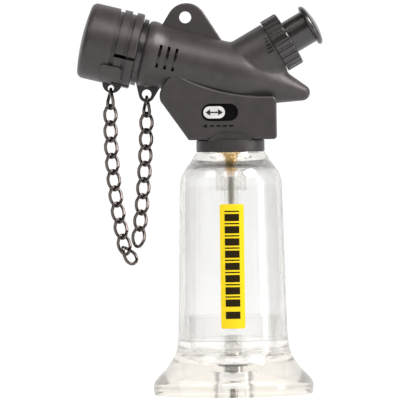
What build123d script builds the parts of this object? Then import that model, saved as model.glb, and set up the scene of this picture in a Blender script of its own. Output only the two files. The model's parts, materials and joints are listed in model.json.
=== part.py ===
from build123d import *
from math import atan2, copysign, cos, degrees, pi, radians, sin
import os

# Butane torch, in millimetres. Z is up along the tank's axis and the origin is where that axis meets the
# surface that the torch stands on. The flame leaves towards -X, the thumb plunger is at +X, and the lock
# slide faces -Y.

os.makedirs("parts", exist_ok=True)

# Driving dimensions ------------------------------------------------------------------------------------
HEAD_HEIGHT = 115.0            # where the tank, barrel and plunger axes cross
BARREL_TILT = 14.0             # degrees that the barrel rises towards the flame
TAIL_TILT = 15.6               # degrees that the tail spur falls towards the back
PLUNGER_TILT = 30.0            # degrees that the plunger rises towards the back
RUNNING = 0.05                 # radial clearance of a running fit

BARREL_R = 11.0
BORE_R = 9.2                   # inside of the barrel
BEAD_R = 12.15
BEAD = (27.1, 31.7)            # along the barrel axis
BARREL_BACK = -3.5             # where the round back of the barrel is centred
SPIGOT_R = 10.9
SPIGOT_END = 37.5
RING_R = 12.1
RING = (32.2, 33.8)
SLOT_PLACES = (20.1, 23.0, 25.9)
SLOT_SIZE = (1.0, 8.3)

TAIL_HALF_ANGLE = 20.25
TAIL_TIP_R = 2.9
TAIL_TIP = -26.9

CAP_R = 13.7
CAP_BORE_R = 11.9
CAP = (34.1, 54.4)
CAP_GROOVES = ((41.3, 43.0), (36.8, 38.6))

HOUSING_R = 9.3
HOUSING_END = 18.5
NECK_R = 8.2
NECK_BORE_R = 7.05
NECK_END = 23.6
FLAME_RING_R = 10.15
FLAME_RING = (18.8, 25.0)
FLUTES = 24
FLUTE_R = 0.75
STEM_R = 6.05
STEM_BORE_R = 5.0
STEM = (8.0, 32.6)
PLUNGER_HEAD_R = 7.8

WIRE_SIDE = 3.95               # how far the electrode stands to the +Y side of the burner

HANG_HOLE = (-15.6, 135.3)
HANG_HOLE_R = 2.15
HANG_ARC = (-15.2, 133.2)
HANG_ARC_R = 7.2
HANG_THICK = 3.0

SADDLE_HALF = 9.6              # half the thickness across the flat faces
SADDLE_BOTTOM = 91.2
SLOT_CENTRE = (-3.7, 101.0)
LOCK_SLOT = (13.1, 6.2)
LOCK_BUTTON = (8.7, 5.3)

LEVER_PIVOT = (-7.4, 100.4)    # in X and Z

COLLAR_R = 12.25
COLLAR = (86.8, 91.2)

TANK_NECK_R = 9.8
TANK_NECK_TOP = 90.6
TANK_RIM_R = 12.5                # where the shoulder starts, under the collar
TANK_SHOULDER = (18.4, 74.0)    # radius and height where the shoulder meets the wall
TANK_SEAM = (19.75, 19.5)       # radius and height where the wall meets the foot
TANK_CAVITY = (16.3, 17.3)      # its radius under the shoulder and at the foot's spigot
CAVITY_SHOULDER = 6.5
SPIGOT_BORE_R = 15.6           # the foot has a spigot that fits inside the tank wall
SPIGOT_TOP = 28.0
TANK_CEILING = 82.4
BOSS_R = 5.45
BOSS_BOTTOM = 73.0
FOOT_R = 28.8
FILLER_TIP_R = 1.45            # the end of the filler stem that a refill nozzle goes over
FLOOR = 7.9

LABEL_SIZE = (8.6, 44.2)
LABEL_CENTRE = 46.2
LABEL_THICK = 0.15

WIRE_R = 0.58
LINK_HALF_WIDTH = 2.05         # to the middle of the wire
LINK_HALF_LENGTH = 3.53
LINK_PITCH = 5.86
LINK_SLACK = 0.25              # between the first link and the bottom of its lug's hole
LUG_THICK = 1.6
CAP_LUG = (40.2, -14.9)        # hole centre: along the barrel axis and across it
CAP_LUG_HOLE_R = 1.1
BODY_LUG = (-29.8, 107.9)      # hole centre in X and Z
BODY_LUG_HOLE_R = 1.7

# Frames ------------------------------------------------------------------------------------------------
HEAD = Vector(0, 0, HEAD_HEIGHT)


def tilted(tilt, towards):
    """A frame at the head's centre, Z along an axis that rises by tilt towards -X or +X, and X upwards."""
    rise = sin(radians(tilt))
    run = cos(radians(tilt))
    return Plane(origin=HEAD, x_dir=(-towards * rise, 0, run), z_dir=(towards * run, 0, rise))


BARREL = tilted(BARREL_TILT, -1)
TAIL = tilted(TAIL_TILT, -1)
PLUNGER = tilted(PLUNGER_TILT, 1)


# Shapes that repeat ------------------------------------------------------------------------------------
def turned(outline, frame=Plane.XY):
    """A solid of revolution about the frame's Z axis, from (radius, height) points."""
    section = make_face(Polyline([(radius, 0, height) for radius, height in outline], close=True))
    return frame.location * revolve(section, Axis.Z)


def rod(radius, low, high, frame=Plane.XY):
    return turned([(0, low), (radius, low), (radius, high), (0, high)], frame)


def tube(outer, inner, low, high, frame=Plane.XY):
    return turned([(inner, low), (outer, low), (outer, high), (inner, high)], frame)


def slab(face, low, high):
    """A face drawn in X and Z, given thickness from Y = low to Y = high."""
    return extrude(Plane.XZ.offset(-high) * face, amount=high - low)


def cross_rod(radius, x, z, low, high):
    return slab(Pos(x, z) * Circle(radius), low, high)


def coil(radius, wire, turns, low, high, frame=Plane.XY):
    """A compression spring whose wire stays between the low and the high end."""
    length = high - low - 2 * wire
    path = Helix(pitch=length / turns, height=length, radius=radius)
    spring = sweep(Plane(origin=path @ 0, z_dir=path % 0) * Circle(wire), path=path)
    return frame.location * (Pos(0, 0, low + wire) * spring)


def o_ring(radius, wire, height):
    return Pos(0, 0, height) * Torus(radius, wire)


def pipe(points, bends, outer, inner=0):
    """A bent tube or wire along straight runs joined by arcs."""
    path = FilletPolyline(*points, radius=bends)
    start = Plane(origin=path @ 0, z_dir=path % 0)
    section = start * (Circle(outer) - Circle(inner)) if inner else start * Circle(outer)
    return sweep(section, path=path)


def half(solid, side):
    """The half of a solid on the -Y side (side -1) or the +Y side (side 1)."""
    return solid & (Pos(0, side * 50, 90) * Box(200, 100, 200))


def at(frame, along, across=0, side=0):
    """The point at a distance along a frame's axis, across it upwards, and sideways in Y."""
    point = frame.origin + frame.z_dir * along + frame.x_dir * across
    return Vector(point.X, side, point.Z)


def save(shape, node):
    solids = shape.solids()
    shape = solids[0] if len(solids) == 1 else Compound(children=solids)
    export_step(shape, f"parts/{node}.step")


# Head: barrel, tail spur, igniter housing and lugs -----------------------------------------------------
def head_outside():
    barrel = rod(BARREL_R, BARREL_BACK, BEAD[0] + 0.5, BARREL)
    bead = BARREL.location * barrel_mouth()
    spigot = rod(SPIGOT_R, BEAD[1] - 1, SPIGOT_END, BARREL)
    back = BARREL.location * (Pos(0, 0, BARREL_BACK) * Sphere(BARREL_R))
    slope = radians(TAIL_HALF_ANGLE)
    wide = BARREL_BACK - BARREL_R * sin(slope)
    narrow = TAIL_TIP - TAIL_TIP_R * sin(slope)
    cone = [(0, wide), (BARREL_R * cos(slope), wide), (TAIL_TIP_R * cos(slope), narrow), (0, narrow)]
    tail = turned(cone, TAIL) + TAIL.location * (Pos(0, 0, TAIL_TIP) * Sphere(TAIL_TIP_R))
    housing = rod(HOUSING_R, -2, HOUSING_END, PLUNGER)
    body = barrel + back + tail + housing
    body = fillet([edge for edge in body.edges() if crossing(edge)], 3.0)
    neck = rod(NECK_R, HOUSING_END - 1, NECK_END, PLUNGER)
    groove = tube(NECK_R + 1, NECK_R - 0.6, 19.7, 20.9, PLUNGER)
    return body + bead + spigot + (neck - groove)


def crossing(edge):
    """Whether an edge is where the igniter housing runs into the barrel's side, ahead of the tail spur."""
    if edge.geom_type in (GeomType.LINE, GeomType.CIRCLE) or max((edge @ 0).X, (edge @ 1).X) > 12:
        return False
    for share in (0, 0.5, 1):
        point = PLUNGER.to_local_coords(edge @ share)
        if abs(Vector(point.X, point.Y).length - HOUSING_R) > 0.02:
            return False
    return True


def barrel_mouth():
    """The swelling round the mouth of the barrel, which runs out smoothly into the barrel's side."""
    crest = sum(BEAD) / 2 + 0.4
    swell = Spline((BARREL_R, 0, BEAD[0] - 3.5), (BARREL_R + 0.5, 0, BEAD[0] - 0.4), (BEAD_R, 0, crest),
                   (BARREL_R + 0.35, 0, BEAD[1]), tangents=[(0.02, 0, 1), (-1, 0, 0.5)])
    core = Polyline((BARREL_R + 0.35, 0, BEAD[1]), (0, 0, BEAD[1]), (0, 0, BEAD[0] - 3.5),
                    (BARREL_R, 0, BEAD[0] - 3.5))
    return revolve(make_face(swell + core), Axis.Z)


def hanging_lug():
    feet = Polyline((-25.0, 131.0), (-14, 124), (-1.9, 125.8), close=True)
    arc = Pos(*HANG_ARC) * Circle(HANG_ARC_R)
    outline = make_hull([*arc.edges(), *feet.edges()])
    plate = slab(outline, -HANG_THICK / 2, HANG_THICK / 2)
    rims = [edge for edge in plate.edges() if abs(edge.center().Y) > HANG_THICK / 2 - 0.01]
    plate = fillet(rims, 0.7)
    return plate - cross_rod(HANG_HOLE_R, *HANG_HOLE, -HANG_THICK, HANG_THICK)


def body_chain_lug():
    arc = Pos(*BODY_LUG) * Circle(2.85)
    feet = Polyline((-33.9, 113.5), (-24.2, 111.5), (-28, 116), close=True)
    outline = make_hull([*arc.edges(), *feet.edges()])
    return slab(outline, -LUG_THICK / 2, LUG_THICK / 2)


def vent_slots(side):
    slots = []
    for place in SLOT_PLACES:
        slot = Pos(0, side * BARREL_R, place) * Box(SLOT_SIZE[1], 8, SLOT_SIZE[0])
        slots.append(BARREL.location * slot)
    return slots


def head_inside():
    """The hollow of the barrel and of the igniter housing, and the throat down into the saddle."""
    bore = rod(BORE_R, -2, SPIGOT_END + 1, BARREL)
    back = BARREL.location * (Pos(0, 0, -2) * Sphere(BORE_R))
    housing = rod(HOUSING_R - 1.3, -2, HOUSING_END - 3, PLUNGER)
    neck = rod(NECK_BORE_R, 0, NECK_END + 1, PLUNGER)
    throat = Pos(-3.5, 0, 106) * Box(26, 13, 16)
    return bore + back + housing + neck + throat


# Saddle under the head ---------------------------------------------------------------------------------
def saddle_face():
    front = Spline((-24.8, 105.2), (-25.0, 108.2), (-23.4, 111.5), (-19.4, 115.2))
    top = Spline((-19.4, 115.2), (-8, 110), (3, 107.4), (15.6, 106.6))
    rear = Polyline((15.6, 106.6), (16.6, 105.4), (16.6, SADDLE_BOTTOM), (-14.9, SADDLE_BOTTOM),
                    (-24.8, 105.2))
    face = make_face(front + top + rear)
    return fillet(face.vertices().sort_by_distance((16.6, SADDLE_BOTTOM, 0))[:1], 1.2)


def saddle_outside():
    block = slab(saddle_face(), -SADDLE_HALF, SADDLE_HALF)
    rims = [edge for edge in block.edges() if abs(edge.center().Y) > SADDLE_HALF - 0.01]
    return fillet(rims, 0.9)


def saddle_inside():
    room = Polyline((-13, 93.2), (-21, 105.4), (-21, 109), (-15, 110), (14.6, 104.6), (14.6, 93.2),
                    close=True)
    hollow = slab(make_face(room), -7.7, 7.7)
    floor_hole = rod(6.6, SADDLE_BOTTOM - 1, 94)
    return hollow + floor_hole


# Screws that hold the halves together, driven from the +Y side ----------------------------------------
SCREWS = ((12.2, 95.6, 9.6, -4.0), (-17.3, 105.8, 9.6, -4.0), (19.4, 109.4, 5.0, -2.2))    # X, Z, face, tip


def screw(x, z, face, tip):
    shank = cross_rod(1.0, x, z, tip, face - 2.2)
    head = cross_rod(1.9, x, z, face - 2.2, face - 0.7)
    drive = slab(Pos(x, z) * (Rectangle(2.4, 0.5) + Rectangle(0.5, 2.4)), face - 1.4, face)
    return shank + head - drive


def screw_space(x, z, face, tip):
    return cross_rod(1.0, x, z, tip, face - 2.2) + cross_rod(1.9, x, z, face - 2.2, face + 4)


def screw_post(x, z, side):
    low, high = (-7.8, 0) if side < 0 else (0, 7.8)
    return cross_rod(2.6, x, z, low, high)


def build_shells():
    outside = head_outside()
    screws = [screw(*place) for place in SCREWS]
    spaces = [screw_space(*place) for place in SCREWS]
    hole = cross_rod(BODY_LUG_HOLE_R, *BODY_LUG, -LUG_THICK, LUG_THICK)
    shell = outside + hanging_lug() + body_chain_lug() + saddle_outside()
    shell = shell - saddle_inside() - head_inside() - hole - vent_slots(-1) - vent_slots(1)
    for side, name in ((-1, "left"), (1, "right")):
        half_shell = half(shell, side)
        for place in SCREWS[:2]:
            half_shell = half_shell + screw_post(*place[:2], side)
        half_shell = half_shell - spaces
        if side < 0:
            half_shell = half_shell - lock_slot()
        save(half_shell, f"head_shell_{name}")
    save(Compound(children=screws), "shell_screws")


# Lock slide --------------------------------------------------------------------------------------------
def lock_slot():
    return slab(Pos(*SLOT_CENTRE) * SlotOverall(LOCK_SLOT[0], LOCK_SLOT[1]), -12, -7)


def build_lock():
    x = SLOT_CENTRE[0] - LOCK_SLOT[0] / 2 + LOCK_BUTTON[0] / 2 + 0.2
    z = SLOT_CENTRE[1]
    plate = slab(Pos(x + 0.2, z) * Rectangle(17.2, 8.4), -7.5, -6.7)
    button = slab(Pos(x, z) * SlotOverall(*LOCK_BUTTON), -9.9, -7.5)
    label = slab(Pos(x, z) * SlotOverall(LOCK_BUTTON[0] - 1, LOCK_BUTTON[1] - 1), -9.9, -9.6)
    save(plate + button - label, "lock_slide")
    save(label, "lock_plate")


# Collar between saddle and tank -----------------------------------------------------------------------
def build_collar():
    ring = tube(COLLAR_R, TANK_NECK_R, *COLLAR)
    ring = chamfer(ring.edges().filter_by(GeomType.CIRCLE).sort_by(SortBy.RADIUS)[-2:], 0.4)
    low = COLLAR[1]
    tongue = make_face(Polyline((-8.2, low - 0.5), (8.2, low - 0.5), (7.2, low + 0.6), (4, low + 2.3),
                                (-4, low + 2.3), (-7.2, low + 0.6), close=True))
    for side in (-1, 1):
        near, far = sorted((side * SADDLE_HALF, side * 10.6))
        ring = ring + slab(tongue, near, far)
    save(ring, "neck_collar")


# Burner in the barrel ----------------------------------------------------------------------------------
def build_burner():
    save(tube(RING_R, SPIGOT_R, *RING, BARREL), "front_ring")
    save(tube(BORE_R, 6.05, 34.6, 36.2, BARREL), "heat_shield")
    carrier = tube(8.6, 6.0, 18.2, 33.0, BARREL) + tube(8.6, 2.6, 17.0, 18.2, BARREL)
    side_ports = BARREL.location * (Pos(0, 0, 22.5) * (Rot(0, 90, 0) * Cylinder(1.8, 20)))
    wire_port = BARREL.location * (Pos(0, WIRE_SIDE, 17.6) * Cylinder(1.1, 3))
    save(carrier - side_ports - wire_port, "burner_carrier")
    nozzle = tube(6.0, 5.5, 27.0, 47.0, BARREL) + tube(6.0, 2.6, 26.2, 27.0, BARREL)
    insulator_hole = BARREL.location * (Pos(0, WIRE_SIDE, 26.6) * Cylinder(1.1, 2))
    save(nozzle - insulator_hole, "flame_tube")
    save(tube(2.6, 1.9, 17.0, 28.5, BARREL), "mixing_tube")
    holes = []
    for angle in range(0, 360, 30):
        if angle != 90:
            hole = Rot(0, 0, angle) * (Pos(3.7, 0, 0) * Cylinder(0.6, 12))
            holes.append(BARREL.location * (Pos(0, 0, 39) * hole))
    disc = rod(5.45, 38.6, 40.2, BARREL) - holes
    disc = disc - rod(1.6, 38, 41, BARREL) - BARREL.location * (Pos(0, WIRE_SIDE, 39) * Cylinder(1.15, 4))
    save(disc, "flame_disc")
    jet = tube(3.0, 0.4, 11.0, 15.0, BARREL) + tube(1.9, 0.4, 15.0, 17.6, BARREL)
    port = BARREL.location * (Pos(-2.0, 0, 13.0) * (Rot(0, 90, 0) * Cylinder(1.2, 3)))
    save(jet - port, "gas_jet")
    insulator = BARREL.location * (Pos(0, WIRE_SIDE, 0) * (tube(1.1, 0.4, 23.0, 38.0)))
    save(insulator, "electrode_insulator")
    save(BARREL.location * (Pos(0, WIRE_SIDE, 0) * rod(0.4, 23.0, 43.0)), "igniter_electrode")
    wire_end = at(BARREL, 23.0, 0, WIRE_SIDE)
    wire_points = (at(PLUNGER, -6.0), at(PLUNGER, -9.0), at(BARREL, 11.0, -4.0, 4.6),
                   at(BARREL, 18.0, 0.0, WIRE_SIDE), wire_end)
    save(pipe(wire_points, (0.9, 1.5, 2.5), 0.5), "igniter_wire")


# Igniter: piezo unit, plunger, flame ring --------------------------------------------------------------
def build_igniter():
    body = PLUNGER.location * (Pos(0, 0, 5.0) * Box(6.6, 6.6, 20.0))
    cavity = PLUNGER.location * (Pos(0, 0, 9.0) * Box(5.0, 5.0, 13.0))
    seat = rod(6.1, -6.0, -5.0, PLUNGER)
    save(body + seat - cavity, "piezo_unit")
    save(PLUNGER.location * (Pos(0, 0, 19.3) * Box(4.4, 4.4, 22.4)), "piezo_plunger")
    save(coil(5.5, 0.35, 7, -5.0, STEM[0], PLUNGER), "plunger_spring")
    head_low = STEM[1]
    rim = head_low + 1.0
    crown = Spline((PLUNGER_HEAD_R, 0, rim), (5.6, 0, head_low + 2.6), (0, 0, head_low + 3.3),
                   tangents=[(-0.2, 0, 1), (-1, 0, 0)])
    stem = Polyline((0, 0, head_low + 3.3), (0, 0, 30.5), (STEM_BORE_R, 0, 30.5), (STEM_BORE_R, 0, STEM[0]),
                    (STEM_R, 0, STEM[0]), (STEM_R, 0, head_low), (PLUNGER_HEAD_R - 0.4, 0, head_low + 0.4),
                    (PLUNGER_HEAD_R, 0, rim))
    save(PLUNGER.location * revolve(make_face(crown + stem), Axis.Z), "igniter_plunger")
    low, high = FLAME_RING
    shell = tube(FLAME_RING_R, NECK_R + 0.2, low, high - 0.9, PLUNGER)
    end = tube(FLAME_RING_R, STEM_R + RUNNING, high - 0.9, high, PLUNGER)
    circles = (end + shell).edges().filter_by(GeomType.CIRCLE)
    rims = circles.filter_by(lambda edge: edge.radius > FLAME_RING_R - 0.01)
    ring = fillet(rims.sort_by(Axis.Z)[-1:], 0.8)
    sleeve = tube(NECK_BORE_R - 0.1, STEM_R + RUNNING, 9.0, high - 0.8, PLUNGER)
    snap = tube(NECK_R + 0.3, NECK_R - 0.3, 19.9, 20.7, PLUNGER)
    ring = ring + sleeve + snap
    flute = Pos(FLAME_RING_R + FLUTE_R / 3, 0, 21) * Cylinder(FLUTE_R, 8)
    ring = ring - [PLUNGER.location * (Rot(0, 0, 360 * step / FLUTES) * flute) for step in range(FLUTES)]
    save(ring, "flame_ring")
    nut = tube(7.7, NECK_BORE_R - 0.05, 5.5, 13.0, PLUNGER)
    save(nut, "regulator_sleeve")


# Gas valve and lever -----------------------------------------------------------------------------------
def build_valve():
    body = [(2.25, 86.0), (4.4, 86.0), (4.4, TANK_NECK_TOP), (6.5, TANK_NECK_TOP), (6.5, 92.4), (4.2, 92.4)]
    body += [(4.2, 96.6), (1.4, 96.6), (1.4, 95.6), (2.25, 95.6)]
    port = Pos(-3.4, 0, 94.4) * (Rot(0, 90, 0) * Cylinder(1.2, 2.4))
    save(turned(body) - port, "valve_body")
    inlet = [(0.5, 78.0), (1.05, 78.0), (1.05, 80.0), (1.95, 82.6), (1.95, 85.0), (4.4, 85.0), (4.4, 86.0)]
    inlet += [(0.5, 86.0)]
    save(turned(inlet), "valve_inlet")
    stem = [(0, 88.8), (2.15, 88.8), (2.15, 90.2), (1.3, 90.2), (1.3, 99.0), (1.9, 99.0), (1.9, 99.8)]
    stem += [(0, 99.8)]
    save(turned(stem), "valve_stem")
    save(coil(1.75, 0.25, 5, 90.2, 95.6), "valve_spring")
    save(o_ring(5.25, 0.45, 90.1), "neck_seal")
    route = ((-3.0, 0, 94.4), (-11.2, 0, 94.4), at(BARREL, 13.0, -5.5), at(BARREL, 13.0, -1.2))
    save(pipe(route, (3.0, 3.5), 1.2, 0.6), "gas_tube")
    low_edge = ((-3.2, 97.6), (2.6, 97.6), (2.6, 98.7), (-3.0, 98.9), (-5.0, 101.2), (5.6, 106.4))
    high_edge = ((5.2, 107.6), (3.9, 107.6), (-6.6, 102.6), (-9.2, 101.6), (-9.4, 99.4), (-8.0, 98.4))
    lever = slab(make_face(Polyline(*low_edge, *high_edge, close=True)), -2.6, 2.6)
    fork = Pos(0.6, 0, 98.2) * Box(4.4, 2.9, 1.9)
    save(lever - fork - cross_rod(0.85, *LEVER_PIVOT, -3, 3), "gas_lever")
    save(cross_rod(0.8, *LEVER_PIVOT, -3.0, 7.7), "lever_pin")


# Tank --------------------------------------------------------------------------------------------------
def tank_outline_radius(height):
    """The radius of the tank's tapering wall at a height between the seam and the shoulder."""
    share = (height - TANK_SEAM[1]) / (TANK_SHOULDER[1] - TANK_SEAM[1])
    return TANK_SEAM[0] + share * (TANK_SHOULDER[0] - TANK_SEAM[0])


def tank_outside():
    rest, top = COLLAR[0] - 0.2, TANK_NECK_TOP
    widest, height = TANK_SHOULDER
    shoulder = Spline((TANK_RIM_R, 0, rest), (14.6, 0, 83.2), (16.4, 0, 80.7), (17.8, 0, 77.8),
                      (widest, 0, height), tangents=[(0.45, 0, -0.89), (0.03, 0, -1)])
    start = Polyline((0, 0, TANK_SEAM[1]), (0, 0, top), (TANK_NECK_R, 0, top), (TANK_NECK_R, 0, rest),
                     (TANK_RIM_R, 0, rest))
    wall = Polyline((widest, 0, height), (TANK_SEAM[0], 0, TANK_SEAM[1]), (0, 0, TANK_SEAM[1]))
    return revolve(make_face(start + shoulder + wall), Axis.Z)


def tank_cavity():
    """The gas space: round-shouldered, with a boss for the dip tube hanging from its ceiling."""
    top, bottom = TANK_CAVITY
    turn = CAVITY_SHOULDER * (1 - cos(pi / 4))
    arc = ThreePointArc((top - CAVITY_SHOULDER, 0, TANK_CEILING), (top - turn, 0, TANK_CEILING - turn),
                        (top, 0, TANK_CEILING - CAVITY_SHOULDER))
    floor = TANK_SEAM[1] - 1
    rest = Polyline((top, 0, TANK_CEILING - CAVITY_SHOULDER), (bottom, 0, SPIGOT_TOP), (bottom, 0, floor),
                    (0, 0, floor), (0, 0, BOSS_BOTTOM), (BOSS_R, 0, BOSS_BOTTOM), (BOSS_R, 0, TANK_CEILING),
                    (top - CAVITY_SHOULDER, 0, TANK_CEILING))
    return revolve(make_face(arc + rest), Axis.Z)


def build_tank():
    bore = turned([(0, 70), (2.5, 70), (2.5, 77.6), (1.05, 77.6), (1.05, 80.0), (1.95, 82.6), (1.95, 85),
                   (4.4, 85), (4.4, 92), (0, 92)])
    groove = tube(5.7, 4.0, 89.65, 91)
    save(tank_outside() - tank_cavity() - bore - groove, "tank_body")
    flare = Spline((20.1, 0, TANK_SEAM[1]), (21.6, 0, 13.0), (25.6, 0, 7.8), (28.5, 0, 4.2), (FOOT_R, 0, 1.8))
    rest = Polyline((FOOT_R, 0, 1.8), (28.4, 0, 0), (6.0, 0, 0), (6.0, 0, 3.4), (0, 0, 3.4),
                    (0, 0, TANK_SEAM[1]), (20.1, 0, TANK_SEAM[1]))
    foot = revolve(make_face(flare + rest), Axis.Z)
    spigot = tube(TANK_CAVITY[1], SPIGOT_BORE_R, TANK_SEAM[1] - 1, SPIGOT_TOP)
    dish_start = Polyline((6.5, 0, FLOOR), (0, 0, FLOOR), (0, 0, 40), (SPIGOT_BORE_R, 0, 40),
                          (SPIGOT_BORE_R, 0, 17.0))
    dish_side = Spline((SPIGOT_BORE_R, 0, 17.0), (13.6, 0, 11.2), (6.5, 0, FLOOR),
                       tangents=[(0, 0, -1), (-1, 0, 0)])
    dish = revolve(make_face(dish_start + dish_side), Axis.Z)
    bore = rod(2.6, 3, 9)
    seat = turned([(0, 5.9), (3.9, 5.9), (3.9, 7.1), (0, 7.1)])
    save(foot + spigot - dish - bore - seat, "tank_foot")
    low, high = TANK_SEAM[1] + 0.7, TANK_SHOULDER[1] - 0.1
    skin = turned([(tank_outline_radius(low), low), (tank_outline_radius(low) + LABEL_THICK, low),
                   (tank_outline_radius(high) + LABEL_THICK, high), (tank_outline_radius(high), high)])
    patch = slab(Pos(0, LABEL_CENTRE) * RectangleRounded(*LABEL_SIZE, 0.8), -2 * TANK_SEAM[0], 0)
    save(skin & patch, "level_label")
    save(tube(2.5, 0.95, 66.0, 77.6) + tube(1.75, 0.95, 24.0, 66.0), "dip_tube")
    save(rod(0.95, 23.0, 77.6), "wick")


# Filler valve in the tank's floor ----------------------------------------------------------------------
def build_filler():
    body = [(1.72, 3.4), (2.6, 3.4), (2.6, FLOOR), (5.8, FLOOR), (5.8, 8.9), (3.25, 8.9), (3.25, 20.8)]
    body += [(1.1, 20.8), (1.1, 19.6), (2.3, 19.6), (2.3, 10.4), (1.72, 10.4)]
    save(turned(body), "filler_body")
    save(tube(3.9, 2.6, 5.9, 7.1), "filler_seal")
    stem = [(0, 0.5), (1.25, 0.5), (FILLER_TIP_R, 0.8), (FILLER_TIP_R, 3.4), (1.65, 3.6), (1.65, 10.6)]
    stem += [(2.2, 10.6), (2.2, 12.4), (1.0, 12.4), (1.0, 16.5), (0, 16.5)]
    save(turned(stem), "filler_stem")
    save(coil(1.65, 0.3, 5, 12.4, 19.6), "filler_spring")


# Cap with its liner and lug ----------------------------------------------------------------------------
def build_cap():
    low, high = CAP
    dome = ThreePointArc((0, 0, high), (6.2, 0, high - 0.25), (11.9, 0, high - 1.0))
    corner = ThreePointArc((11.9, 0, high - 1.0), (13.15, 0, high - 1.75), (CAP_R, 0, high - 3.0))
    skirt = Polyline((CAP_R, 0, high - 3.0), (CAP_R, 0, low + 0.4), (CAP_R - 0.4, 0, low),
                     (CAP_BORE_R, 0, low),
                     (CAP_BORE_R, 0, high - 2.4), (0, 0, high - 2.4), (0, 0, high))
    shell = BARREL.location * revolve(make_face(dome + corner + skirt), Axis.Z)
    for near, far in CAP_GROOVES:
        shell = shell - tube(CAP_R + 1, CAP_R - 0.9, near, far, BARREL)
    disc = Cylinder(3.5, LUG_THICK)
    lug = BARREL.location * (Pos(CAP_LUG[1] + 1.8, 0, CAP_LUG[0]) * (Rot(90, 0, 0) * disc))
    lug = lug - rod(CAP_BORE_R, low - 5, high, BARREL)
    hole = BARREL.location * (Pos(CAP_LUG[1], 0, CAP_LUG[0]) * (Rot(90, 0, 0) * Cylinder(CAP_LUG_HOLE_R, 5)))
    pad = Box(6.0, 14, 7.8)
    pad = Pos(-10.35, -12, 41.5) * fillet(pad.edges().filter_by(Axis.Y), 1.3)
    pad = BARREL.location * pad & tube(CAP_R + 0.6, CAP_BORE_R + 0.5, 37, 46, BARREL)
    notch = BARREL.location * (Pos(-3.3, -13, 37.4) * Box(1.2, 8, 8.4))
    latch = BARREL.location * (Pos(-12.9, -5, 37.0) * Box(0.5, 8, 7.0))
    save(shell + pad + lug - hole - notch - latch, "cap_shell")
    save(tube(CAP_BORE_R, CAP_BORE_R - 0.35, 44.5, high - 2.4, BARREL), "cap_liner")


# Chain -------------------------------------------------------------------------------------------------
def link_point(turn, facing, twist):
    """A point on the middle of a link's wire, as turn goes from 0 to 2 pi round the link.

    The link faces the angle facing at its middle, and turns by twist from there to its upper end.
    """
    across = LINK_HALF_WIDTH * copysign(abs(cos(turn)) ** 0.8, cos(turn))
    height = LINK_HALF_LENGTH * copysign(abs(sin(turn)) ** 0.95, sin(turn))
    angle = radians(facing + twist * height / LINK_HALF_LENGTH)
    return Vector(across * cos(angle), across * sin(angle), height)


def twisted_link(facing, twist):
    step = 0.001
    halves = []
    for start in (step, pi + step):
        points = [link_point(start + pi * index / 8, facing, twist) for index in range(9)]
        ends = [link_point(turn + step, facing, twist) - link_point(turn - step, facing, twist)
                for turn in (start, start + pi)]
        path = Spline(*points, tangents=ends)
        halves.append(sweep(Plane(origin=path @ 0, z_dir=path % 0) * Circle(WIRE_R), path=path))
    return halves[0] + halves[1]


def strand(top, bottom, bow, count):
    """Links hung along a shallow curve from a lug down.

    The upper end of each link crosses the lower end of the link above at right angles, and the first
    link's upper end crosses its lug.
    """
    middle = (top + bottom) / 2 + Vector(bow, 0, 0)
    route = ThreePointArc(top, middle, bottom)
    links = []
    end_link = twisted_link(112.5, -22.5)
    curb_link = twisted_link(0, 45)
    for index in range(count):
        reach = LINK_HALF_LENGTH + index * LINK_PITCH
        place = route.position_at(reach, position_mode=PositionMode.LENGTH)
        down = route.tangent_at(reach, position_mode=PositionMode.LENGTH)
        lean = degrees(atan2(down.X, -down.Z))
        link = end_link if index == 0 else curb_link
        links.append(Location(place) * (Rot(0, -lean, 0) * link))
    return links


def build_chain():
    cap_hole = at(BARREL, *CAP_LUG)
    top = cap_hole - Vector(0, 0, CAP_LUG_HOLE_R - WIRE_R - LINK_SLACK)
    cap_strand = strand(top, Vector(-38.0, 0, 50.8), -2.0, 10)
    lowest = Location((-37.0, 0, 50.3)) * (Rot(0, -36, 0) * twisted_link(35, 45))
    save(Compound(children=[*cap_strand, lowest]), "chain_cap_strand")
    top = Vector(BODY_LUG[0], 0, BODY_LUG[1] - BODY_LUG_HOLE_R + WIRE_R + LINK_SLACK)
    body_strand = strand(top, Vector(-34.6, 0, 48.2), 1.0, 9)
    save(Compound(children=body_strand), "chain_body_strand")


build_shells()
build_lock()
build_collar()
build_burner()
build_igniter()
build_valve()
build_tank()
build_filler()
build_cap()
build_chain()
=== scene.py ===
"""Butane torch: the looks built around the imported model. Metres, Z up, the flame end at -X, seen along +Y."""
import bmesh
import bpy
import json
from math import cos, pi, radians, sin
from mathutils import Matrix, Vector
from mathutils.bvhtree import BVHTree


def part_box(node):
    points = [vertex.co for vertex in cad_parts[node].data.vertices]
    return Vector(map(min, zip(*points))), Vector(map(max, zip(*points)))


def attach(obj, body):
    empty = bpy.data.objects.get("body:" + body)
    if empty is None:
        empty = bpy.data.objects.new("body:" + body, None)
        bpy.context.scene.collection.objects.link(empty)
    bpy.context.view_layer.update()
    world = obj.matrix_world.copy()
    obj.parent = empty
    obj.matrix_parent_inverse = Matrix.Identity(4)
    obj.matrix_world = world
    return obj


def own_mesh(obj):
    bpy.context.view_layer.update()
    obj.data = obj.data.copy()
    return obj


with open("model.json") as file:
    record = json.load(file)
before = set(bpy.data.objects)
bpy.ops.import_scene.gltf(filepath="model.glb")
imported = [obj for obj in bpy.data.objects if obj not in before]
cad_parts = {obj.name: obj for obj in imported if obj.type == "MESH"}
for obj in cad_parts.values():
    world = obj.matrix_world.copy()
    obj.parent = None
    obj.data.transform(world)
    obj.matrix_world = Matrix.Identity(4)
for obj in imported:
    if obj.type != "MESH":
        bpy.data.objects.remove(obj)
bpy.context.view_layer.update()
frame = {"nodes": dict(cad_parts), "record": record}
nodes = frame["nodes"]
joints = {joint["name"]: joint for joint in frame["record"]["behaviour"]["joints"]}
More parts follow.
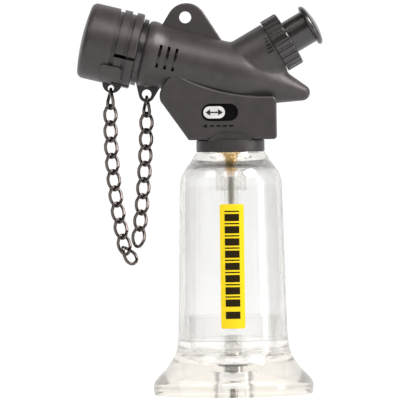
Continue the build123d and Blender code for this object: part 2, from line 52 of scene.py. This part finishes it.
MM = 0.001

# Camera ------------------------------------------------------------------------------------------------
CAMERA_DISTANCE = 1.6
CAMERA_HEIGHT = 0.088          # level with the neck collar
VIEW_CENTRE = Vector((-0.0112, 0.0, 0.0697))
VIEW_WIDTH = 0.1436            # what the frame takes in at the torch
SENSOR_WIDTH = 36.0
ROLL = radians(0.8)


def add_camera():
    """A long lens in front of the torch, a little above its middle."""
    data = bpy.data.cameras.new("camera")
    data.sensor_width = SENSOR_WIDTH
    data.lens = SENSOR_WIDTH * CAMERA_DISTANCE / VIEW_WIDTH
    data.clip_start = 0.05
    data.clip_end = 20.0
    camera = bpy.data.objects.new("camera", data)
    camera.location = (VIEW_CENTRE.x, -CAMERA_DISTANCE, CAMERA_HEIGHT)
    aim = (VIEW_CENTRE - camera.location).to_track_quat("-Z", "Y")
    camera.rotation_euler = (aim.to_matrix() @ Matrix.Rotation(-ROLL, 3, "Z")).to_euler()
    bpy.context.collection.objects.link(camera)
    bpy.context.scene.camera = camera


add_camera()


# Materials ---------------------------------------------------------------------------------------------
NOISE_LOW, NOISE_HIGH = 0.3, 0.7     # most of a noise pattern lies between these values


def grey(level):
    """A colour with no tint."""
    return level, level, level


def colour_ramp(tree, factor, stops):
    """A colour ramp over a factor, from (position, colour) stops."""
    ramp = tree.nodes.new("ShaderNodeValToRGB")
    elements = ramp.color_ramp.elements
    while len(elements) < len(stops):
        elements.new(0.5)
    for element, (position, colour) in zip(elements, stops):
        element.position = position
        element.color = (*colour, 1)
    tree.links.new(factor, ramp.inputs["Fac"])
    return ramp.outputs["Color"]


def multiply(tree, first, second):
    """The product of two colours."""
    mix = tree.nodes.new("ShaderNodeMixRGB")
    mix.blend_type = "MULTIPLY"
    mix.inputs["Fac"].default_value = 1.0
    tree.links.new(first, mix.inputs["Color1"])
    tree.links.new(second, mix.inputs["Color2"])
    return mix.outputs["Color"]


class Surface:
    """A procedural material: a Principled shader whose colour, roughness and relief vary over the surface."""

    def __init__(self, name, **sockets):
        self.material = bpy.data.materials.new(name)
        self.material.use_nodes = True
        self.tree = self.material.node_tree
        self.shader = self.tree.nodes["Principled BSDF"]
        self.place = self.tree.nodes.new("ShaderNodeTexCoord").outputs["Object"]
        for socket, value in sockets.items():
            self.shader.inputs[socket.replace("_", " ")].default_value = value

    def noise(self, scale, detail, stretch=(1, 1, 1)):
        """Noise with a pattern about 1/scale metres across."""
        mapping = self.tree.nodes.new("ShaderNodeMapping")
        mapping.inputs["Scale"].default_value = stretch
        texture = self.tree.nodes.new("ShaderNodeTexNoise")
        texture.inputs["Scale"].default_value = scale
        texture.inputs["Detail"].default_value = detail
        self.tree.links.new(self.place, mapping.inputs["Vector"])
        self.tree.links.new(mapping.outputs["Vector"], texture.inputs["Vector"])
        return texture.outputs["Fac"]

    def shade(self, factor, dark, light):
        """A colour that goes from dark to light with a noise pattern."""
        return colour_ramp(self.tree, factor, [(NOISE_LOW, dark), (NOISE_HIGH, light)])

    def colour(self, factor, dark, light):
        """The base colour, from dark to light with a noise pattern."""
        self.tree.links.new(self.shade(factor, dark, light), self.shader.inputs["Base Color"])

    def roughness(self, factor, low, high):
        """Roughness from low to high with a noise pattern."""
        spread = self.tree.nodes.new("ShaderNodeMapRange")
        spread.inputs["From Min"].default_value = NOISE_LOW
        spread.inputs["From Max"].default_value = NOISE_HIGH
        spread.inputs["To Min"].default_value = low
        spread.inputs["To Max"].default_value = high
        self.tree.links.new(factor, spread.inputs["Value"])
        self.tree.links.new(spread.outputs["Result"], self.shader.inputs["Roughness"])

    def relief(self, factor, height, strength=1.0):
        """Bumps of the given height in metres."""
        bump = self.tree.nodes.new("ShaderNodeBump")
        bump.inputs["Strength"].default_value = strength
        bump.inputs["Distance"].default_value = height
        self.tree.links.new(factor, bump.inputs["Height"])
        self.tree.links.new(bump.outputs["Normal"], self.shader.inputs["Normal"])


def scaled(colour, factor):
    """A darker or lighter shade of a colour."""
    return tuple(factor * part for part in colour)


def moulded_plastic(name, colour, low, high, gloss=0.8, grain=5200, depth=0.02 * MM):
    """Spark-textured moulded plastic: a fine grain, and faint cloudy changes of shade."""
    surface = Surface(name, IOR=1.5, Specular_IOR_Level=gloss)
    surface.colour(surface.noise(220, 4), scaled(colour, 0.82), scaled(colour, 1.16))
    surface.roughness(surface.noise(900, 3), low, high)
    surface.relief(surface.noise(grain, 2), depth)
    return surface.material


def polished_metal(name, dark, light, low, high, scale=600, depth=0.008 * MM):
    """Plated or turned metal with small changes of shade and gloss."""
    surface = Surface(name, Metallic=1.0)
    surface.colour(surface.noise(scale, 4), dark, light)
    surface.roughness(surface.noise(scale * 1.7, 3), low, high)
    surface.relief(surface.noise(scale * 3, 2), depth)
    return surface.material


def clear_plastic(name, colour, rough, bend, solid):
    """Clear moulded acrylic: slowly wavy, warmer where it is thick, and darkened by painted shade where it is
    seen edge on.
    """
    edge_painted_shade = (0.42, 0.4, 0.37)
    thickness_tint = (0.99, 0.96, 0.9, 1)
    thickness_density = 30
    surface = Surface(name, IOR=bend, Transmission_Weight=1.0, Alpha=solid)
    cloud = surface.shade(surface.noise(60, 1), scaled(colour, 0.98), colour)
    # Painted shade: the colour darkens where the surface is seen edge on, in place of the dark outlines that
    # bent light gives it.
    facing = surface.tree.nodes.new("ShaderNodeLayerWeight")
    facing.inputs["Blend"].default_value = 0.5
    rim_painted_shade = colour_ramp(surface.tree, facing.outputs["Facing"], [(0.5, (1, 1, 1)), (0.95, edge_painted_shade)])
    surface.tree.links.new(multiply(surface.tree, cloud, rim_painted_shade), surface.shader.inputs["Base Color"])
    surface.roughness(surface.noise(300, 2), rough * 0.5, rough)
    surface.relief(surface.noise(110, 1), 0.03 * MM, 0.4)
    absorption = surface.tree.nodes.new("ShaderNodeVolumeAbsorption")
    absorption.inputs["Color"].default_value = thickness_tint
    absorption.inputs["Density"].default_value = thickness_density
    output = surface.tree.nodes["Material Output"]
    surface.tree.links.new(absorption.outputs["Volume"], output.inputs["Volume"])
    return surface.material


def printed_film(name, colour, gloss=0.4):
    """Printed plastic film, or the ink on it."""
    surface = Surface(name, IOR=1.5, Specular_IOR_Level=gloss, Coat_Weight=gloss / 4, Coat_Roughness=0.12)
    surface.colour(surface.noise(400, 3), scaled(colour, 0.95), colour)
    surface.roughness(surface.noise(1500, 2), 0.3, 0.42)
    surface.relief(surface.noise(2600, 2), 0.004 * MM)
    return surface.material


def cotton(name):
    """Twisted cotton, with its strands along Z."""
    surface = Surface(name, Sheen_Weight=0.3)
    surface.colour(surface.noise(2500, 3, (1, 1, 0.2)), (0.55, 0.52, 0.45), (0.85, 0.82, 0.75))
    surface.relief(surface.noise(3500, 2, (1, 1, 0.3)), 0.1 * MM)
    return surface.material


MATERIALS = {
    "dark_plastic": moulded_plastic("dark_plastic", (0.032, 0.0265, 0.026), 0.38, 0.46, 0.55),
    "collar_plastic": moulded_plastic("collar_plastic", (0.025, 0.0212, 0.021), 0.36, 0.44, 0.55),
    # Gloss black also goes to the burner carrier, whose dark finish is painted shade inside the front slots.
    "gloss_black": moulded_plastic("gloss_black", (0.016, 0.0135, 0.0132), 0.2, 0.26, 0.8, 900, 0.0008 * MM),
    "white_plastic": moulded_plastic("white_plastic", (0.62, 0.62, 0.61), 0.35, 0.42),
    "lock_plastic": moulded_plastic("lock_plastic", (0.004, 0.0035, 0.0035), 0.3, 0.4, 0.12),
    "clear_plastic": clear_plastic("clear_plastic", (0.95, 0.95, 0.945), 0.03, 1.45, 0.86),
    "clear_tube": clear_plastic("clear_tube", (0.85, 0.84, 0.8), 0.15, 1.2, 0.6),
    "label_yellow": printed_film("label_yellow", (0.8, 0.61, 0.003)),
    "chain_metal": polished_metal("chain_metal", (0.1, 0.085, 0.078), (0.15, 0.128, 0.118), 0.16, 0.24,
                                  250, 0.003 * MM),
    "front_ring_metal": polished_metal("front_ring_metal", (0.05, 0.048, 0.048), (0.09, 0.087, 0.086),
                                       0.3, 0.4),
    "steel": polished_metal("steel", (0.42, 0.41, 0.4), (0.6, 0.59, 0.57), 0.22, 0.36),
    "brass": polished_metal("brass", (0.6, 0.4, 0.14), (0.8, 0.58, 0.26), 0.18, 0.3),
    "filler_metal": polished_metal("filler_metal", (0.6, 0.59, 0.57), (0.8, 0.79, 0.76), 0.12, 0.2),
    "seal_rubber": moulded_plastic("seal_rubber", (0.014, 0.014, 0.014), 0.55, 0.7),
    "ceramic": moulded_plastic("ceramic", (0.75, 0.74, 0.7), 0.15, 0.25),
    "piezo_plastic": moulded_plastic("piezo_plastic", (0.2, 0.2, 0.22), 0.4, 0.5),
    "lever_metal": polished_metal("lever_metal", (0.35, 0.35, 0.36), (0.5, 0.5, 0.51), 0.3, 0.4),
    "wire_red": moulded_plastic("wire_red", (0.35, 0.015, 0.015), 0.4, 0.5),
    "wick_cotton": cotton("wick_cotton"),
}
LABEL_INK = printed_film("label_ink", (0.018, 0.012, 0.002), 0.12)
LOCK_INK = printed_film("lock_ink", (0.02, 0.02, 0.02), 0.12)


def dress_nodes():
    """Each CAD node gets the material of its slot in the record."""
    for part in frame["record"]["subparts"]:
        mesh = nodes[part["node"]].data
        mesh.materials.clear()
        mesh.materials.append(MATERIALS[part["material_slot"]])


dress_nodes()


# Springs -----------------------------------------------------------------------------------------------
def press_springs():
    """Each coil spring that a joint presses gets a mesh of its own.

    The plunger's axis and the tank's axis meet at the flame ring's centre, and each spring is on one of them.
    """
    for joint in joints.values():
        for spring in joint.get("deforming_nodes", []):
            piece, axis = nodes[spring["node"]], Vector(joint["axis"])
            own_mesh(piece)


press_springs()


# Marks printed or raised on the mouldings --------------------------------------------------------------
RAY_START = -0.06              # in front of everything that faces -Y
TOWARDS_BACK = (0, 1, 0)
INK_HEIGHT = 0.02 * MM
RAISED_HEIGHT = 0.12 * MM
SINK = 0.03 * MM               # how far a mark's underside lies inside what it is on
HOUSING_MARK_END = 17.6 * MM   # along the plunger's axis, short of the flame ring
HOUSING_REACH = 20 * MM        # from that axis, outside the housing


class Skin:
    """A CAD node's surface, which a mark can lie on."""

    def __init__(self, node):
        mesh = nodes[node].data
        mesh.calc_loop_triangles()
        corners = [vertex.co.copy() for vertex in mesh.vertices]
        self.tree = BVHTree.FromPolygons(corners, [triangle.vertices[:] for triangle in mesh.loop_triangles])

    def face(self, start, direction):
        """Where a ray meets the node, and the outward normal there."""
        place, normal, _, _ = self.tree.ray_cast(Vector(start), Vector(direction))
        if place is None:
            raise ValueError(f"no surface under a mark at {start}")
        return place, (normal if normal.dot(Vector(direction)) < 0 else -normal)


def mark(name, strips, surface, height, body, material):
    """One piece made of thin closed plates that lie on a surface.

    Each strip is a row of ray pairs along it, one ray for each edge, and a ray is a (start, direction).
    """
    form = bmesh.new()
    for strip in strips:
        rows = []
        for rays in strip:
            hits = [surface.face(*ray) for ray in rays]
            tops = [form.verts.new(place + normal * height) for place, normal in hits]
            feet = [form.verts.new(place - normal * SINK) for place, normal in hits]
            rows.append((tops[0], tops[1], feet[1], feet[0]))
        form.faces.new(rows[0])
        form.faces.new(reversed(rows[-1]))
        for near, far in zip(rows, rows[1:]):
            for side in range(4):
                after = (side + 1) % 4
                form.faces.new((near[side], far[side], far[after], near[after]))
    bmesh.ops.recalc_face_normals(form, faces=form.faces)
    mesh = bpy.data.meshes.new(name)
    form.to_mesh(mesh)
    form.free()
    mesh.materials.append(material)
    piece = bpy.data.objects.new(name, mesh)
    bpy.context.collection.objects.link(piece)
    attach(piece, body)


def bar_on_front(centre, size, columns=6):
    """A bar on a surface that faces -Y, as a strip of ray pairs from in front of it."""
    x, z = centre
    wide, tall = size
    across = [x + wide * (step / columns - 0.5) for step in range(columns + 1)]
    edges = (z - 0.5 * tall, z + 0.5 * tall)
    return [[((place, RAY_START, edge), TOWARDS_BACK) for edge in edges] for place in across]


def arrow_on_front(tip, reach, half_height):
    """An arrow head on a surface that faces -Y, with its point at tip and its wide end at reach from it."""
    x, z = tip
    blunt = 0.04
    strip = []
    for share in (blunt, 0.5, 1):
        edges = (z - share * half_height, z + share * half_height)
        strip.append([((x + share * reach, RAY_START, edge), TOWARDS_BACK) for edge in edges])
    return strip


def add_level_scale():
    """Bars and ticks up the yellow label, in place of words."""
    low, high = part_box("level_label")
    middle = (low[0] + high[0]) / 2
    margin, groups = 2.6 * MM, 9
    width, bar_height, tick_height = 5.2 * MM, 2.6 * MM, 0.5 * MM
    pitch = (high[2] - low[2] - 2 * margin) / groups
    strips = []
    for group in range(groups):
        height = low[2] + margin + (group + 0.5) * pitch
        strips.append(bar_on_front((middle, height), (width, bar_height)))
        if group:
            strips.append(bar_on_front((middle, height + pitch / 2), (width, tick_height)))
    mark("level_scale", strips, Skin("level_label"), INK_HEIGHT, "torch_body", LABEL_INK)


def add_lock_arrows():
    """A double arrow on the lock plate, in place of words."""
    low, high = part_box("lock_plate")
    x, z = (low[0] + high[0]) / 2, (low[2] + high[2]) / 2
    shaft = (3.2 * MM, 0.5 * MM)
    tip, head_length, head_half_height = 3.1 * MM, 1.7 * MM, 1.2 * MM
    strips = [bar_on_front((x, z), shaft, 2)]
    for side in (-1, 1):
        strips.append(arrow_on_front((x + side * tip, z), -side * head_length, head_half_height))
    mark("lock_arrows", strips, Skin("lock_plate"), INK_HEIGHT, "lock", LOCK_INK)


def add_slot_marks():
    """A raised arrow and dashes under the lock slot, which show the way to slide it."""
    low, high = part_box("lock_plate")
    x, z = low[0] - 0.4 * MM, low[2] - 2.7 * MM     # the arrow's tip, below the left end of the plate
    head_length, head_half_height = 1.6 * MM, 0.8 * MM
    dashes, dash, first_dash, dash_pitch = 4, (1.5 * MM, 0.55 * MM), 3.4 * MM, 2.3 * MM
    strips = [arrow_on_front((x, z), head_length, head_half_height)]
    for step in range(dashes):
        strips.append(bar_on_front((x + first_dash + dash_pitch * step, z), dash, 2))
    # Painted shade: the raised marks are in the dark lock plastic, in place of the shade along their edges.
    mark("slot_marks", strips, Skin("head_shell_left"), RAISED_HEIGHT, "torch_body",
         MATERIALS["lock_plastic"])


def add_flame_marks():
    """Raised bars on the housing beside the flame ring, each longer than the last, for more flame."""
    ring = joints["flame_ring_turn"]
    axis, centre = Vector(ring["axis"]), Vector(ring["pos_m"])
    bars, shortest, growth = 5, 0.7, 0.35               # lengths in millimetres
    first_turn, turn_pitch, half_width = 26, 8, 1.3     # degrees round the plunger's axis
    side = Vector((0, -1, 0))
    over = side.cross(axis)
    strips = []
    for step in range(bars):
        length = (shortest + growth * step) * MM
        strip = []
        for share in (0, 0.5, 1):
            middle = centre + axis * (HOUSING_MARK_END - share * length)
            rays = []
            for edge in (-half_width, half_width):
                turn = radians(first_turn - turn_pitch * step + edge)
                out = side * cos(turn) + over * sin(turn)
                rays.append((middle + out * HOUSING_REACH, -out))
            strip.append(rays)
        strips.append(strip)
    # Painted shade: the raised bars are in the dark lock plastic, in place of the shade along their edges.
    mark("flame_marks", strips, Skin("head_shell_left"), RAISED_HEIGHT, "torch_body",
         MATERIALS["lock_plastic"])


add_level_scale()
add_lock_arrows()
add_slot_marks()
add_flame_marks()


# Stage -------------------------------------------------------------------------------------------------
STAGE_WIDTH = 6.0
STAGE_FRONT = -3.0
STAGE_BACK = 1.6               # where the floor begins to curve up
STAGE_BEND = 0.8               # the curve's radius
STAGE_TOP = 4.0
BEND_STEPS = 12
FLOOR_GAP = 0.02 * MM          # keeps the floor clear of the foot's underside
LIGHT_COLOUR = (1.0, 0.955, 0.95)
LIGHT_AIM = Vector((0, 0, 0.1))


def add_stage():
    """A pale floor that curves up into a backdrop."""
    paper = Surface("stage_paper", Roughness=0.9, Emission_Color=(1, 1, 1, 1), Emission_Strength=0.9)
    paper.colour(paper.noise(3, 2), grey(0.2), grey(0.21))
    line = [(STAGE_FRONT, 0.0), (STAGE_BACK, 0.0)]
    for step in range(1, BEND_STEPS + 1):
        turn = step * pi / (2 * BEND_STEPS)
        line.append((STAGE_BACK + STAGE_BEND * sin(turn), STAGE_BEND - STAGE_BEND * cos(turn)))
    line.append((STAGE_BACK + STAGE_BEND, STAGE_TOP))
    points = [(side * STAGE_WIDTH / 2, y, z - FLOOR_GAP) for y, z in line for side in (-1, 1)]
    faces = [(2 * i, 2 * i + 1, 2 * i + 3, 2 * i + 2) for i in range(len(line) - 1)]
    mesh = bpy.data.meshes.new("stage_floor")
    mesh.from_pydata(points, [], faces)
    mesh.materials.append(paper.material)
    for face in mesh.polygons:
        face.use_smooth = True
    floor = bpy.data.objects.new("stage_floor", mesh)
    bpy.context.collection.objects.link(floor)


def add_light(name, place, size, power):
    """A soft rectangular light that faces the torch."""
    data = bpy.data.lights.new(name, "AREA")
    data.shape = "RECTANGLE"
    data.size, data.size_y = size
    data.energy = power
    data.color = LIGHT_COLOUR
    light = bpy.data.objects.new(name, data)
    light.location = place
    light.rotation_euler = (LIGHT_AIM - Vector(place)).to_track_quat("-Z", "Y").to_euler()
    bpy.context.collection.objects.link(light)


def add_world():
    """A room that is white behind the torch, dim in front of it and to its sides, and dimmer overhead."""
    world = bpy.data.worlds.new("world")
    world.use_nodes = True
    tree = world.node_tree
    direction = tree.nodes.new("ShaderNodeTexCoord").outputs["Generated"]
    split = tree.nodes.new("ShaderNodeSeparateXYZ")
    tree.links.new(direction, split.inputs["Vector"])
    # Along each axis, from its low end at 0 to its high end at 1.
    brightness = {
        "Y": [(0.0, 0.12), (0.5, 0.14), (0.66, 0.5), (0.8, 1.0)],
        "Z": [(0.0, 1.0), (0.6, 1.0), (0.8, 0.3)],
    }
    shades = []
    for axis, levels in brightness.items():
        spread = tree.nodes.new("ShaderNodeMapRange")
        spread.inputs["From Min"].default_value = -1
        tree.links.new(split.outputs[axis], spread.inputs["Value"])
        stops = [(place, grey(level)) for place, level in levels]
        shades.append(colour_ramp(tree, spread.outputs["Result"], stops))
    tree.links.new(multiply(tree, *shades), tree.nodes["Background"].inputs["Color"])
    bpy.context.scene.world = world


def add_lights():
    """The main light is high on the right, with three weaker ones to soften its shadows."""
    add_light("key", (0.8, -0.5, 1.0), (0.6, 0.5), 20)
    add_light("top", (0, -0.8, 1.0), (0.6, 0.4), 4.5)
    add_light("left", (-0.8, -0.5, 1.0), (0.6, 0.5), 4)
    add_light("right", (1.2, -0.4, 0.4), (0.3, 0.8), 5)


add_stage()
add_world()
add_lights()
bpy.context.scene.view_settings.view_transform = "Standard"
